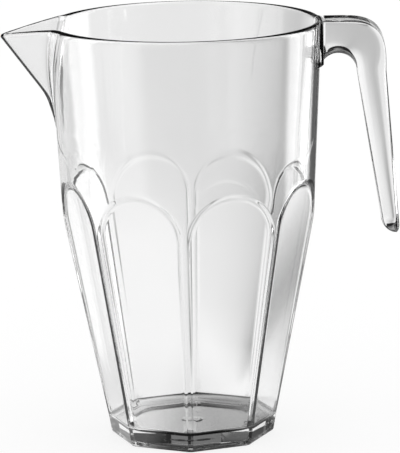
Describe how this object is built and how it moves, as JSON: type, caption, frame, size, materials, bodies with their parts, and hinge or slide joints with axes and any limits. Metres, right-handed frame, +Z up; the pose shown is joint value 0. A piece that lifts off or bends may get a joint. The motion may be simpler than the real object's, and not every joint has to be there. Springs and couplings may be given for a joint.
{
  "type": "beer pitcher",
  "caption": "Clear pitcher: round at the rim, faceted below a row of arches, on a thick foot, with a V spout and an open hook handle for carrying and pouring.",
  "frame": {"origin": "on the jug's axis, in the plane that the foot rests on", "axes": "+Z up along the jug's axis, spout along -X, handle along +X"},
  "size_m": [0.215, 0.1478, 0.23],
  "materials": {
    "clear_wall": "polished clear plastic",
    "clear_foot": "polished clear plastic, thick",
    "clear_spout": "polished clear plastic",
    "clear_handle": "polished clear plastic, solid bar"
  },
  "bodies": {
    "root": {"jug_wall": "clear_wall", "jug_foot": "clear_foot", "pouring_spout": "clear_spout", "handle": "clear_handle"}
  },
  "joints": []
}
